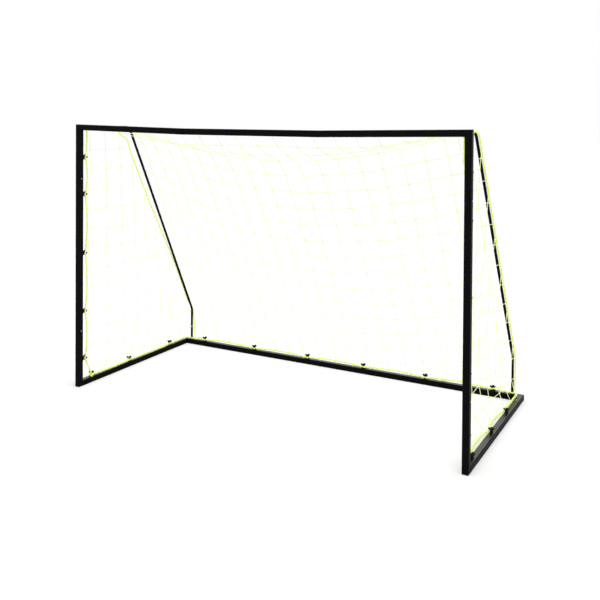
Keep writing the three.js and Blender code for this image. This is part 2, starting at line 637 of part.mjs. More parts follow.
// A net of square mesh on a curved surface, which is given as a point for two shares from 0 to 1.
// Acrosses and downs are the shares where cords run. Each knot is a small pad, and each cord a strip.
function netOn(surface, acrosses, downs) {
  const nudge = 1e-3;
  const slopes = (u, v) => {
    const [u0, u1] = [Math.max(u - nudge, 0), Math.min(u + nudge, 1)];
    const [v0, v1] = [Math.max(v - nudge, 0), Math.min(v + nudge, 1)];
    const alongU = surface(u1, v).sub(surface(u0, v)).normalize();
    const alongV = surface(u, v1).sub(surface(u, v0)).normalize();
    return { alongU, alongV, normal: alongU.clone().cross(alongV).normalize() };
  };
  const points = [];
  // Corners of a knot's pad, on both faces. A pad at an edge of the net lies wholly inside it.
  const pads = acrosses.map((u, i) =>
    downs.map((v, j) => {
      const { alongU, alongV, normal } = slopes(u, v);
      const inU = i === 0 ? 1 : i === acrosses.length - 1 ? -1 : 0;
      const inV = j === 0 ? 1 : j === downs.length - 1 ? -1 : 0;
      const middle = surface(u, v)
        .addScaledVector(alongU, (inU * CORD) / 2)
        .addScaledVector(alongV, (inV * CORD) / 2);
      const corner = (du, dv, face) => {
        points.push(
          middle
            .clone()
            .addScaledVector(alongU, (du * CORD) / 2)
            .addScaledVector(alongV, (dv * CORD) / 2)
            .addScaledVector(normal, (face * CORD) / 2),
        );
        return points.length - 1;
      };
      const face = (side) => [
        corner(-1, -1, side),
        corner(1, -1, side),
        corner(1, 1, side),
        corner(-1, 1, side),
      ];
      return { front: face(1), back: face(-1) };
    }),
  );
  const index = [];
  const quad = (a, b, c, d) => index.push(a, b, c, a, c, d);
  // The same quad on the front face and, turned over, on the back face.
  const both = (pick) => {
    quad(...pick("front"));
    quad(...[...pick("back")].reverse());
  };
  // A wall from the front face down to the back face, along one side of a pad or a cord.
  const wall = (from, i, to, j) => quad(from.back[i], to.back[j], to.front[j], from.front[i]);
  pads.forEach((line, i) =>
    line.forEach((pad, j) => {
      both((face) => pad[face]);
      const right = i < acrosses.length - 1 ? pads[i + 1][j] : null;
      const below = j < downs.length - 1 ? line[j + 1] : null;
      if (right) {
        both((face) => [pad[face][1], right[face][0], right[face][3], pad[face][2]]);
        wall(pad, 1, right, 0);
        wall(right, 3, pad, 2);
      } else wall(pad, 1, pad, 2);
      if (below) {
        both((face) => [pad[face][3], pad[face][2], below[face][1], below[face][0]]);
        wall(pad, 2, below, 1);
        wall(below, 0, pad, 3);
      } else wall(pad, 2, pad, 3);
      if (i === 0) wall(pad, 3, pad, 0);
      if (j === 0) wall(pad, 0, pad, 1);
    }),
  );
  const flat = points.flatMap((p) => [p.x, p.y, p.z]);
  return new THREE.BufferGeometry()
    .setAttribute("position", new THREE.BufferAttribute(new Float32Array(flat), 3))
    .setIndex(index);
}

const evenShares = (count) => Array.from({ length: count + 1 }, (_, i) => i / count);
const meshesIn = (length) => Math.max(Math.round(length / MESH_PITCH), 1);

// How far the net hangs at a share of the way from the crossbar to the rear bar.
function hangAt(share) {
  const next = Math.max(NET_HANG.findIndex(([at]) => at >= share), 1);
  const [from, to] = [NET_HANG[next - 1], NET_HANG[next]];
  return THREE.MathUtils.mapLinear(share, from[0], to[0], from[1], to[1]);
}

// Top and back panels: a stretch of the route over the stays, as deep as it hangs between them.
const netCorners = stayCorners(NET_OFFSET);
const netLegs = [
  [TUBE + NET_FRONT_GAP, netCorners.top[1]],
  netCorners.top,
  netCorners.knee,
  [netCorners.knee[0], TUBE + ROPE_LIFT],
].map(([y, z]) => new THREE.Vector2(y, z));
const legLengths = netLegs.slice(1).map((to, i) => to.distanceTo(netLegs[i]));
const routeLength = legLengths.reduce((sum, length) => sum + length, 0);

function hangingNet(name, leg) {
  const before = legLengths.slice(0, leg).reduce((sum, length) => sum + length, 0);
  const trim = PANEL_GAP / 2 / legLengths[leg];
  const surface = (u, v) => {
    const share = THREE.MathUtils.lerp(trim, 1 - trim, v);
    const place = netLegs[leg].clone().lerp(netLegs[leg + 1], share);
    const onStay = HALF_WIDTH - stayInset(place.x);
    const x = THREE.MathUtils.lerp(-onStay - SEAM_ASIDE, onStay + SEAM_ASIDE, u);
    const across = Math.max(1 - (x / onStay) ** 2, 0);
    const hang = across * hangAt((before + share * legLengths[leg]) / routeLength);
    return vec(x, place.x - hang * NET_LEAN, place.y - hang);
  };
  const columns = meshesIn(GOAL_WIDTH - 2 * STAY_TOP_INSET);
  const net = netOn(surface, evenShares(columns), evenShares(meshesIn(legLengths[leg])));
  return named(name, net, netCord);
}

// Side panel: from the post back to the seam's rope, and from the side bar up. It hangs a little inwards.
function sideNet(side) {
  const start = TUBE + ROPE_LIFT + SIDE_ROPE_BOW / 4 + SEAM_CLEARANCE;
  const frontX = postHookX - ROPE_ACROSS - SEAM_CLEARANCE;
  const [, top, knee] = seamCorners(side);
  const surface = (u, v) => {
    const z = THREE.MathUtils.lerp(start, top.z, v);
    const upSlope = THREE.MathUtils.clamp((z - knee.z) / (top.z - knee.z), 0, 1);
    const rear = knee.clone().lerp(top, upSlope);
    const drape = SIDE_NET_DRAPE * 16 * u * (1 - u) * v * (1 - v);
    const x = THREE.MathUtils.lerp(frontX, rear.x + SEAM_CLEARANCE + PANEL_GAP, u) - drape;
    return vec(x, THREE.MathUtils.lerp(start, rear.y, u), z);
  };
  const columns = meshesIn((knee.y + top.y) / 2 - start);
  const net = netOn(surface, evenShares(columns), evenShares(meshesIn(top.z - start)));
  return named("side_net_" + side, net, netCord);
}

// ---- The whole goal ----

// Everything that stands once on each side, drawn on the right and mirrored for the left.
function sideOfGoal(side, postFace) {
  const places = buttonPlaces(postFace);
  const group = new THREE.Group();
  const steel = (name, solid) => group.add(named(name + "_" + side, geometryOf(solid), blackCoat));
  steel("top_corner", topCorner(places));
  steel("post_middle", middlePost(places));
  steel("foot_corner", footCorner(places));
  steel("rear_corner", rearCorner(places));
  steel("stay_upper", upperStay(places));
  steel("stay_lower", lowerStay(places));
  group.add(named("foot_cap_" + side, footCap(), blackPlastic));
  Object.entries(places).forEach(([name, button]) => group.add(buttonMesh(name + "_" + side, button)));
  group.add(...sideHooks(side));
  group.add(named("seam_rope_" + side, seamRope(side), brightRope), sideNet(side));
  if (side === "left") group.scale.x = -1;
  return group;
}

// The snap buttons of both posts face the same way, to the right.
const goal = new THREE.Group();
goal.add(sideOfGoal("right", 1), sideOfGoal("left", -1));
const barButtons = buttonPlaces(1);
const crossbarCentre = middleBar(crossbarPoint, vec(0, 1, 0), barButtons.crossbar_button, true);
const rearBarCentre = middleBar(rearPoint, vec(0, 0, 1), barButtons.rear_bar_button, false);
goal.add(named("crossbar_centre", geometryOf(crossbarCentre), blackCoat));
goal.add(named("rear_bar_centre", geometryOf(rearBarCentre), blackCoat));
goal.add(named("mouth_rope", mouthRope(), brightRope));
goal.add(named("ground_rope", groundRope(), brightRope));
goal.add(...["top_net", "back_net_upper", "back_net_lower"].map(hangingNet));
goal.position.y = -BASE_DEPTH / 2;

export default goal;
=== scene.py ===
import math

import bmesh
import bpy
import numpy as np
from mathutils import Matrix, Vector


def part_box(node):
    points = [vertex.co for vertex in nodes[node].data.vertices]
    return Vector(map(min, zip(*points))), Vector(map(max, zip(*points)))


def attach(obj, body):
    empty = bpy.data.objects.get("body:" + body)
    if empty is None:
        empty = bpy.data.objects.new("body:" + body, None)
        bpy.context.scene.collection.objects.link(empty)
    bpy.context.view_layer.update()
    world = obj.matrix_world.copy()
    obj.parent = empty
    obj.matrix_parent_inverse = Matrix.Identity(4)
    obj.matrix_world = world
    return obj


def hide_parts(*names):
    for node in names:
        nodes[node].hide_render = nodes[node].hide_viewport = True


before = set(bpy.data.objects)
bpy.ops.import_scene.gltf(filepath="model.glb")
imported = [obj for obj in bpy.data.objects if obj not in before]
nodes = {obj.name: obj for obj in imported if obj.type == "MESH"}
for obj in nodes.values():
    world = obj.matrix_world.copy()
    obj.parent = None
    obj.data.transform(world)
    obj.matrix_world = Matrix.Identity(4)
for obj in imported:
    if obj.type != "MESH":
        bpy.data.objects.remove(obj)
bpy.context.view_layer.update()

# ---------------------------------------------------------------------------
# Camera and studio.
# The goal stands on a pale seamless floor under a large soft box overhead, with a
# weaker one from the right, so the black tubes show long soft reflections.
# ---------------------------------------------------------------------------

MM = 0.001
BASE_DEPTH = 1120.0  # the goal's depth; its own origin is half of this behind the mouth


def place(x, y, z):
    """A point in millimetres from the mouth's plane, as a point of the row frame in metres."""
    return Vector((x * MM, (y - BASE_DEPTH / 2) * MM, z * MM))


def linear(hex_colour, alpha=1.0):
    """An sRGB hex colour as the linear RGBA that the shaders take."""
    channels = [int(hex_colour[i : i + 2], 16) / 255 for i in (1, 3, 5)]
    bent = [c / 12.92 if c <= 0.04045 else ((c + 0.055) / 1.055) ** 2.4 for c in channels]
    return (*bent, alpha)


def add_node(material, kind, settings=None, values=None, links=None):
    """Adds a shader node with its settings, its socket values and what its inputs are linked to."""
    node = material.node_tree.nodes.new(kind)
    for name, value in (settings or {}).items():
        setattr(node, name, value)
    for name, value in (values or {}).items():
        node.inputs[name].default_value = value
    for name, source in (links or {}).items():
        material.node_tree.links.new(source, node.inputs[name])
    return node


def empty_material(name):
    """A new material that has no shader nodes yet."""
    material = bpy.data.materials.new(name)
    material.use_nodes = True
    material.node_tree.nodes.clear()
    return material


# The photo's camera, solved from the corners and edges of the goal. Its place is in
# millimetres from the middle of the mouth, at the ground.
IMAGE_SIDE = 600
FOCAL_PIXELS = 786.42
HORIZON_ROW = 129.45
CAMERA_PLACE = (2256.8, -3540.1, 1649.2)
CAMERA_TURN_LEFT = math.radians(28.585)
CAMERA_TILT = math.radians(-0.859)
CAMERA_ROLL = math.radians(0.367)

camera_data = bpy.data.cameras.new("photo_camera")
camera_data.sensor_fit = "HORIZONTAL"
camera_data.sensor_width = 36
camera_data.lens = FOCAL_PIXELS / IMAGE_SIDE * camera_data.sensor_width
camera_data.shift_y = (HORIZON_ROW - IMAGE_SIDE / 2) / IMAGE_SIDE
camera_data.clip_end = 200
camera = bpy.data.objects.new("photo_camera", camera_data)
bpy.context.scene.collection.objects.link(camera)
camera.matrix_world = (
    Matrix.Translation(place(*CAMERA_PLACE))
    @ Matrix.Rotation(CAMERA_TURN_LEFT, 4, "Z")
    @ Matrix.Rotation(math.pi / 2 + CAMERA_TILT, 4, "X")
    @ Matrix.Rotation(CAMERA_ROLL, 4, "Z")
)
bpy.context.scene.camera = camera
bpy.context.scene.view_settings.view_transform = "Standard"

WORLD_LIGHT = 0.9
world = bpy.data.worlds.new("soft_studio")
world.use_nodes = True
world.node_tree.nodes.clear()
bpy.context.scene.world = world
sky_path = add_node(world, "ShaderNodeLightPath")
seen = add_node(
    world,
    "ShaderNodeMath",
    {"operation": "MAXIMUM"},
    links={0: sky_path.outputs["Is Camera Ray"], 1: sky_path.outputs["Is Transmission Ray"]},
)
seen_or_mirrored = add_node(
    world,
    "ShaderNodeMath",
    {"operation": "MAXIMUM"},
    links={0: seen.outputs[0], 1: sky_path.outputs["Is Glossy Ray"]},
)
sky_light = add_node(
    world, "ShaderNodeBackground", values={"Color": linear("#FFFFFF"), "Strength": WORLD_LIGHT}
)
sky_seen = add_node(
    world, "ShaderNodeBackground", values={"Color": linear("#FFFFFF"), "Strength": 1.0}
)
sky = add_node(
    world,
    "ShaderNodeMixShader",
    links={0: seen_or_mirrored.outputs[0], 1: sky_light.outputs[0], 2: sky_seen.outputs[0]},
)
add_node(world, "ShaderNodeOutputWorld", links={"Surface": sky.outputs[0]})


def soft_box(name, middle, aim, size, power):
    """A square area lamp at one point that faces another."""
    lamp = bpy.data.lights.new(name, "AREA")
    lamp.shape = "SQUARE"
    lamp.size = size
    lamp.energy = power
    holder = bpy.data.objects.new(name, lamp)
    bpy.context.scene.collection.objects.link(holder)
    facing = (Vector(aim) - Vector(middle)).to_track_quat("-Z", "Y")
    holder.matrix_world = Matrix.Translation(middle) @ facing.to_matrix().to_4x4()


soft_box("soft_box_overhead", (0.0, 0.4, 5.2), (0, 0, 0), 5.0, 60)
soft_box("soft_box_right", (5.5, 1.5, 2.6), (0, 0, 0.7), 2.5, 25)

FLOOR_SIDE = 120.0
FLOOR_DROP = 0.0006  # keeps the floor just under the tubes that stand on it
floor_mesh = bpy.data.meshes.new("studio_floor")
corner = FLOOR_SIDE / 2
floor_mesh.from_pydata(
    [(-corner, -corner, -FLOOR_DROP), (corner, -corner, -FLOOR_DROP),
     (corner, corner, -FLOOR_DROP), (-corner, corner, -FLOOR_DROP)],
    [],
    [(0, 1, 2, 3)],
)
studio_floor = bpy.data.objects.new("studio_floor", floor_mesh)
bpy.context.scene.collection.objects.link(studio_floor)

# Matt white paper: nearly white where the light falls, a soft grey in the goal's shadow.
white_paper = empty_material("matt_white_studio_paper")
paper_face = add_node(
    white_paper, "ShaderNodeBsdfDiffuse", values={"Color": linear("#E6E6E6"), "Roughness": 1.0}
)
paper_lift = add_node(
    white_paper, "ShaderNodeEmission", values={"Color": linear("#FFFFFF"), "Strength": 0.3}
)
paper_path = add_node(white_paper, "ShaderNodeLightPath")
paper_seen = add_node(
    white_paper, "ShaderNodeAddShader", links={0: paper_face.outputs[0], 1: paper_lift.outputs[0]}
)
paper = add_node(
    white_paper,
    "ShaderNodeMixShader",
    links={
        0: paper_path.outputs["Is Camera Ray"],
        1: paper_face.outputs[0],
        2: paper_seen.outputs[0],
    },
)
add_node(white_paper, "ShaderNodeOutputMaterial", links={"Surface": paper.outputs[0]})
floor_mesh.materials.append(white_paper)

# ---------------------------------------------------------------------------
# Steel frame: square tube in welded and plugged-together sections, and round stays.
# Cold-rolled steel, bent and welded, then powder coated black and baked. The coat
# flows into the faint ripple called orange peel. A painted reflection makes level faces shine
# and keeps upright ones dull.
# ---------------------------------------------------------------------------


def dress(material, *names):
    """Gives CAD nodes a finish, and keeps their shape as it is."""
    for name in names:
        mesh = nodes[name].data
        mesh.materials.clear()
        mesh.materials.append(material)
        for face in mesh.polygons:
            face.material_index = 0


def finish_with(material, shader):
    """Links a shader to its material's output."""
    add_node(material, "ShaderNodeOutputMaterial", links={"Surface": shader.outputs[0]})


ORANGE_PEEL_MM = 1.6
COAT_CLOUD_MM = 90.0
powder_coat = empty_material("satin_black_powder_coat_on_steel")
coat_place = add_node(powder_coat, "ShaderNodeTexCoord")
coat_cloud = add_node(
    powder_coat,
    "ShaderNodeTexNoise",
    values={"Scale": 1000 / COAT_CLOUD_MM, "Detail": 3.0, "Roughness": 0.55},
    links={"Vector": coat_place.outputs["Object"]},
)
coat_colour = add_node(
    powder_coat, "ShaderNodeValToRGB", links={"Fac": coat_cloud.outputs["Fac"]}
)
coat_colour.color_ramp.elements[0].color = linear("#0B0B0D")
coat_colour.color_ramp.elements[1].color = linear("#111113")
coat_sheen = add_node(
    powder_coat,
    "ShaderNodeMapRange",
    values={"From Min": 0.3, "From Max": 0.7, "To Min": 0.34, "To Max": 0.42},
    links={"Value": coat_cloud.outputs["Fac"]},
)
coat_ripple = add_node(
    powder_coat,
    "ShaderNodeTexNoise",
    values={"Scale": 1000 / ORANGE_PEEL_MM, "Detail": 1.0, "Roughness": 0.4},
    links={"Vector": coat_place.outputs["Object"]},
)
coat_bump = add_node(
    powder_coat,
    "ShaderNodeBump",
    values={"Strength": 0.12, "Distance": 0.0002},
    links={"Height": coat_ripple.outputs["Fac"]},
)
# Painted reflection: how far a face looks up sets its specular level, so level faces show the
# bright overhead box and upright ones stay dull.
coat_way_up = add_node(
    powder_coat, "ShaderNodeSeparateXYZ", links={"Vector": coat_place.outputs["Normal"]}
)
painted_top_reflection = add_node(
    powder_coat,
    "ShaderNodeMapRange",
    values={"From Min": 0.85, "From Max": 0.98, "To Min": 0.03, "To Max": 0.9},
    links={"Value": coat_way_up.outputs["Z"]},
)
coat_shader = add_node(
    powder_coat,
    "ShaderNodeBsdfPrincipled",
    links={
        "Specular IOR Level": painted_top_reflection.outputs["Result"],
        "Base Color": coat_colour.outputs["Color"],
        "Roughness": coat_sheen.outputs["Result"],
        "Normal": coat_bump.outputs["Normal"],
    },
)
finish_with(powder_coat, coat_shader)

SIDES = ("left", "right")
STEEL_PIECES = (
    "top_corner", "post_middle", "foot_corner", "rear_corner", "stay_upper", "stay_lower"
)
for side in SIDES:
    dress(powder_coat, *(f"{piece}_{side}" for piece in STEEL_PIECES))
dress(powder_coat, "crossbar_centre", "rear_bar_centre")

# ---------------------------------------------------------------------------
# Snap buttons: turned pins of zinc-plated steel on a leaf spring inside each joint.
# The plating is bright and a little cloudy, and the tips are polished by use.
# ---------------------------------------------------------------------------

PLATING_CLOUD_MM = 3.0
zinc_plate = empty_material("zinc_plated_spring_steel")
zinc_place = add_node(zinc_plate, "ShaderNodeTexCoord")
zinc_cloud = add_node(
    zinc_plate,
    "ShaderNodeTexNoise",
    values={"Scale": 1000 / PLATING_CLOUD_MM, "Detail": 4.0},
    links={"Vector": zinc_place.outputs["Object"]},
)
zinc_colour = add_node(zinc_plate, "ShaderNodeValToRGB", links={"Fac": zinc_cloud.outputs["Fac"]})
zinc_colour.color_ramp.elements[0].color = linear("#A9ADB0")
zinc_colour.color_ramp.elements[1].color = linear("#C6CACC")
zinc_gloss = add_node(
    zinc_plate,
    "ShaderNodeMapRange",
    values={"From Min": 0.3, "From Max": 0.7, "To Min": 0.22, "To Max": 0.38},
    links={"Value": zinc_cloud.outputs["Fac"]},
)
zinc_shader = add_node(
    zinc_plate,
    "ShaderNodeBsdfPrincipled",
    values={"Metallic": 1.0},
    links={"Base Color": zinc_colour.outputs["Color"], "Roughness": zinc_gloss.outputs["Result"]},
)
finish_with(zinc_plate, zinc_shader)
BUTTONS = ("post_lower", "post_upper", "crossbar", "rear_bar", "side_bar", "stay")
for side in SIDES:
    dress(zinc_plate, *(f"{button}_button_{side}" for button in BUTTONS))

# ---------------------------------------------------------------------------
# Foot plugs and net hooks: injection-moulded black polypropylene.
# A fine spark-eroded grain from the mould keeps them matt. Each hook is a small cleat
# with four horns, riveted on the tube. The crossbar has six more along its rear face.
# ---------------------------------------------------------------------------

MOULD_GRAIN_MM = 0.7
black_polypropylene = empty_material("moulded_black_polypropylene")
plastic_place = add_node(black_polypropylene, "ShaderNodeTexCoord")
plastic_grain = add_node(
    black_polypropylene,
    "ShaderNodeTexNoise",
    values={"Scale": 1000 / MOULD_GRAIN_MM, "Detail": 2.0},
    links={"Vector": plastic_place.outputs["Object"]},
)
plastic_colour = add_node(
    black_polypropylene, "ShaderNodeValToRGB", links={"Fac": plastic_grain.outputs["Fac"]}
)
plastic_colour.color_ramp.elements[0].color = linear("#0C0C0D")
plastic_colour.color_ramp.elements[1].color = linear("#141415")
plastic_bump = add_node(
    black_polypropylene,
    "ShaderNodeBump",
    values={"Strength": 0.35, "Distance": 0.0002},
    links={"Height": plastic_grain.outputs["Fac"]},
)
plastic_shader = add_node(
    black_polypropylene,
    "ShaderNodeBsdfPrincipled",
    values={"Roughness": 0.6, "IOR": 1.49, "Specular IOR Level": 0.12},
    links={"Base Color": plastic_colour.outputs["Color"], "Normal": plastic_bump.outputs["Normal"]},
)
finish_with(black_polypropylene, plastic_shader)

for side in SIDES:
    dress(black_polypropylene, f"foot_cap_{side}")

GOAL_WIDTH = 2450.0
GOAL_HEIGHT = 1600.0
TUBE = 35.0
CROSSBAR_SAG = 15.0
BAR_JOINT = 426.0  # the sag is even between the joints, this far from the middle
HALF_WIDTH = GOAL_WIDTH / 2
MOUTH_TO_ORIGIN = np.array((0, BASE_DEPTH / 2, 0))
CROSSBAR_HOOK_DROP = 15.0  # from the top face to the middle of the hook
CROSSBAR_NARROWING = 0.82  # keeps the upper horns below the crossbar's top face
BAR_HOOK_PLACES = tuple(HALF_WIDTH - 181.0 - 420.0 * i for i in range(3))


def crossbar_sag(x):
    """How far the crossbar hangs below its straight line, as in the CAD."""
    leg = HALF_WIDTH - TUBE - BAR_JOINT
    return CROSSBAR_SAG * min(max((HALF_WIDTH - TUBE - abs(x)) / leg, 0.0), 1.0)


def add_piece(name, mesh, material):
    """Puts a finished mesh in the scene, riding on the goal's frame."""
    mesh.materials.clear()
    mesh.materials.append(material)
    piece = bpy.data.objects.new(name, mesh)
    bpy.context.scene.collection.objects.link(piece)
    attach(piece, "frame")
    return piece


HOOK_THICKNESS = 12.0
HOOK_EDGE = 1.2  # how far the chamfer draws the outline in
HOOK_EDGE_SHARE = 0.2  # the chamfer's depth, as a share of half the thickness
HORN_HEIGHT = 20.0  # above this the chamfer also lowers the outline, on the horns
NOTCH_STEP = 0.5  # the notch's middle lies this far below its sides
# Halves of a cleat's two crossed outlines, from the middle of the foot: length and height.
ALONG_OUTLINE = (
    (17.0, 0.0), (17.0, 3.5), (11.5, 6.5), (8.0, 10.0), (8.0, 13.5), (11.0, 17.5), (15.5, 21.5),
    (17.0, 24.5), (15.5, 27.0), (12.0, 27.0), (7.0, 23.5), (3.0, 21.0),
)
ACROSS_OUTLINE = (
    (6.0, 0.0), (6.0, 17.0), (7.5, 18.6), (11.0, 19.5), (15.5, 22.0), (17.0, 24.5), (15.5, 27.0),
    (12.0, 27.0), (7.0, 24.0), (3.0, 21.5),
)


def cleat(name, base, along, out, narrowing=1.0):
    """A moulded cleat on a tube: two crossed outlines, extruded, with a chamfer on their faces."""
    solid = bmesh.new()
    along, out = np.array(along, float), np.array(out, float)
    across = np.cross(along, out)
    levels = (-1, HOOK_EDGE_SHARE - 1, 1 - HOOK_EDGE_SHARE, 1)
    insets = (HOOK_EDGE, 0, 0, HOOK_EDGE)
    for outline, length, depth in (
        (ALONG_OUTLINE, along, across),
        (ACROSS_OUTLINE, across * narrowing, along),
    ):
        notch = (0.0, outline[-1][1] - NOTCH_STEP)
        profile = [*outline, notch, *((-x, z) for x, z in outline[::-1])]
        rings = []
        for level, inset in zip(levels, insets):
            ring = []
            for x, z in profile:
                x_in = x - math.copysign(min(inset, abs(x)), x)
                z_in = z - inset if z > HORN_HEIGHT else z
                point = base + length * x_in + out * z_in + depth * level * HOOK_THICKNESS / 2
                ring.append(solid.verts.new((point - MOUTH_TO_ORIGIN) * MM))
            rings.append(ring)
        solid.faces.new(rings[0])
        solid.faces.new(rings[-1])
        for ring, following in zip(rings[:-1], rings[1:]):
            for i in range(len(profile)):
                j = (i + 1) % len(profile)
                solid.faces.new((ring[i], ring[j], following[j], following[i]))
    bmesh.ops.recalc_face_normals(solid, faces=solid.faces)
    mesh = bpy.data.meshes.new(name)
    solid.to_mesh(mesh)
    solid.free()
    return add_piece(name, mesh, black_polypropylene)


# Each tube's count of hooks, its direction, and the direction in which they stand out.
HOOKS_ON = {
    "post": (5, (0, 0, 1), (0, 1, 0)),
    "side": (3, (0, 1, 0), (0, 0, 1)),
    "rear": (3, (1, 0, 0), (0, 0, 1)),
}
for side, sign in (("left", -1), ("right", 1)):
    for tube, (count, along, out) in HOOKS_ON.items():
        for number in range(1, count + 1):
            node = f"{tube}_hook_{side}_{number}"
            low, high = (np.array(corner) / MM + MOUTH_TO_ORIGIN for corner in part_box(node))
            base = np.where(np.array(out) > 0, low, (low + high) / 2)
            hook = cleat(f"cleat_on_{tube}_{side}_{number}", base, along, out)
            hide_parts(node)
    for number, distance in enumerate(BAR_HOOK_PLACES, start=1):
        height = GOAL_HEIGHT - CROSSBAR_HOOK_DROP - crossbar_sag(distance)
        base = np.array((sign * distance, TUBE, height))
        name = f"crossbar_hook_{side}_{number}"
        hook = cleat(name, base, (1, 0, 0), (0, 1, 0), CROSSBAR_NARROWING)

# ---------------------------------------------------------------------------
# Border ropes: three-strand laid polyethylene rope, 8 mm across, fluorescent yellow.
# One runs round the mouth, one along the ground bars, and one up each stay. They are
# held beside the hooks' waists. The first two end in knots, and the others are sewn on.
# ---------------------------------------------------------------------------

ROPE_ACROSS = 8.0
ROPE_LAY = 25.0  # length in which a strand goes once round
ROPE_RING_STEP = 2.7
STRAND_SECTION = (1.0, 0.85, 0.66, 0.85) * 3  # radius of a laid rope, twelve steps round
FIT_GAP = 0.3
CORD_ACROSS = 3.0  # the net's cord, which is wound round each rope
ROPE_REACH = ROPE_ACROSS / 2 + CORD_ACROSS
HOOK_SIDE_GAP = HOOK_THICKNESS / 2 + ROPE_REACH + FIT_GAP  # from a hook's middle to the rope's
HOOK_ROPE_LIFT = 11.0  # from the tube's face to the rope's middle
POST_HOOK_INSET = 24.0  # from the post's outer face to the hooks' middle
# How far the net pulls each rope off the line between two hooks.
POST_ROPE_BOW = {"left": 16.0, "right": 2.0}
CROSSBAR_ROPE_BOW = (0, 0, -1.0)
REAR_ROPE_BOW = (0, 0, 10.0)
SIDE_ROPE_BOW = 14.0
ROPE_CORNER_INSET = 48.0  # from the post's outer face, where the rope turns under the crossbar
ROPE_CORNER_DROP = 150.0  # from the crossbar's top face down to where the rope leaves the post
ROPE_CORNER_TURN = 14.0  # size of the turn itself
ROPE_MEETING = 22.0  # the mouth's rope ends this far in front of a side bar's first hook
POST_X = HALF_WIDTH - TUBE / 2
REAR_Y = BASE_DEPTH - TUBE / 2
POST_HOOK_HEIGHTS = (168.0, 457.0, 814.0, GOAL_HEIGHT - 426.0, GOAL_HEIGHT - 200.0)
SIDE_HOOK_PLACES = {"left": (123.0, 474.0, 904.0), "right": (113.0, 461.0, 773.0)}
STAY_RADIUS = 8.0
STAY_TOP_INSET = 105.0  # from the outer face of the post
STAY_FOOT_INSET = 65.0
STAY_RETURN = 381.0  # depth at which the stay's level top turns down into its slope
STAY_KNEE = 255.0  # height at which the slope turns down into the upright foot
STAY_BEND = 60.0  # radius of each bend on the tube's middle line
NET_FRONT_GAP = 20.0  # from the crossbar to the seams
SLIPPED_X = 1160.0  # the left seam has slipped off its stay, to this far from the middle


def run_along(path):
    """How far along a path each of its points is."""
    return np.concatenate([[0], np.cumsum(np.linalg.norm(np.diff(path, axis=0), axis=1))])


def at_runs(path, run, wanted):
    """Points of a path at the wanted distances along it."""
    return np.stack([np.interp(wanted, run, path[:, k]) for k in range(3)], 1)


def square_to(heading):
    """A heading as a unit vector, and two directions square to it."""
    heading = heading / np.linalg.norm(heading)
    side = np.cross(heading, np.eye(3)[np.argmin(np.abs(heading))])
    side /= np.linalg.norm(side)
    return heading, side, np.cross(heading, side)


def carried_frames(path, closed=False):
    """Two directions square to each point's heading, which turn as little as they can."""
    path = np.asarray(path, float)
    if closed:
        ahead = np.roll(path, -1, 0) - np.roll(path, 1, 0)
    else:
        ahead = np.gradient(path, axis=0)
    ahead /= np.linalg.norm(ahead, axis=1)[:, None]
    sides = [square_to(ahead[0])[1]]
    for before, after in zip(ahead[:-1], ahead[1:]):
        side = sides[-1] - after * (sides[-1] @ after)
        sides.append(side / np.linalg.norm(side))
    sides = np.array(sides)
    return sides, np.cross(ahead, sides)


def swept(path, section, twist_per_mm=0.0, closed=False):
    """Points and faces of a tube along a path. Section holds one radius for each step round."""
    path = np.asarray(path, float)
    across, up = carried_frames(path, closed)
    run = run_along(path)
    count, steps = len(path), len(section)
    angles = np.arange(steps) / steps * 2 * math.pi
    turned = angles[None, :] + run[:, None] * twist_per_mm
    radius = np.asarray(section)[None, :, None]
    rays = np.cos(turned)[..., None] * across[:, None] + np.sin(turned)[..., None] * up[:, None]
    points = (path[:, None] + radius * rays).reshape(-1, 3)
    rings = count if closed else count - 1
    a = (np.arange(rings)[:, None] * steps + np.arange(steps)[None]).ravel()
    b = (np.arange(rings)[:, None] * steps + (np.arange(steps)[None] + 1) % steps).ravel()
    following = ((np.arange(rings)[:, None] + 1) % count) * steps
    c = (following + (np.arange(steps)[None] + 1) % steps).ravel()
    d = (following + np.arange(steps)[None]).ravel()
    faces = np.stack([a, b, c, d], 1).tolist()
    if not closed:
        last = (count - 1) * steps
        faces.append(list(range(steps))[::-1])
        faces.append(list(range(last, last + steps)))
    return points, faces


def mesh_of(name, parts):
    """One smooth-shaded mesh from several swept parts, given in millimetres from the mouth."""
    points, faces, start = [], [], 0
    for part_points, part_faces in parts:
        points.append(part_points)
        faces += [[start + i for i in face] for face in part_faces]
        start += len(part_points)
    places = (np.concatenate(points) - MOUTH_TO_ORIGIN) * MM
    mesh = bpy.data.meshes.new(name)
    mesh.from_pydata(places.tolist(), [], faces)
    mesh.polygons.foreach_set("use_smooth", [True] * len(mesh.polygons))
    mesh.update()
    return mesh


def spaced(path, step):
    """A path resampled so that its points lie about a step apart."""
    path = np.asarray(path, float)
    run = run_along(path)
    return at_runs(path, run, np.linspace(0, run[-1], max(int(round(run[-1] / step)), 1) + 1))


def held_route(holds, steps=24):
    """The route through held points. Between two of them it bows away by the later one's bow."""
    points = [np.array(holds[0][0], float)]
    for (before, _), (after, bow) in zip(holds[:-1], holds[1:]):
        before, after, bow = (np.array(v, float) for v in (before, after, bow))
        for step in range(1, steps + 1):
            share = step / steps
            points.append(before + (after - before) * share + bow * 4 * share * (1 - share))
    return np.array(points)


STRAIGHT = (0.0, 0.0, 0.0)
FLIP = np.array((-1, 1, 1))  # takes a point to the other side of the goal
post_rope_x = HALF_WIDTH - POST_HOOK_INSET - HOOK_SIDE_GAP
mouth_rope_y = ground_rope_z = TUBE + HOOK_ROPE_LIFT
crossbar_rope_drop = CROSSBAR_HOOK_DROP + HOOK_SIDE_GAP
corner_x = HALF_WIDTH - ROPE_CORNER_INSET


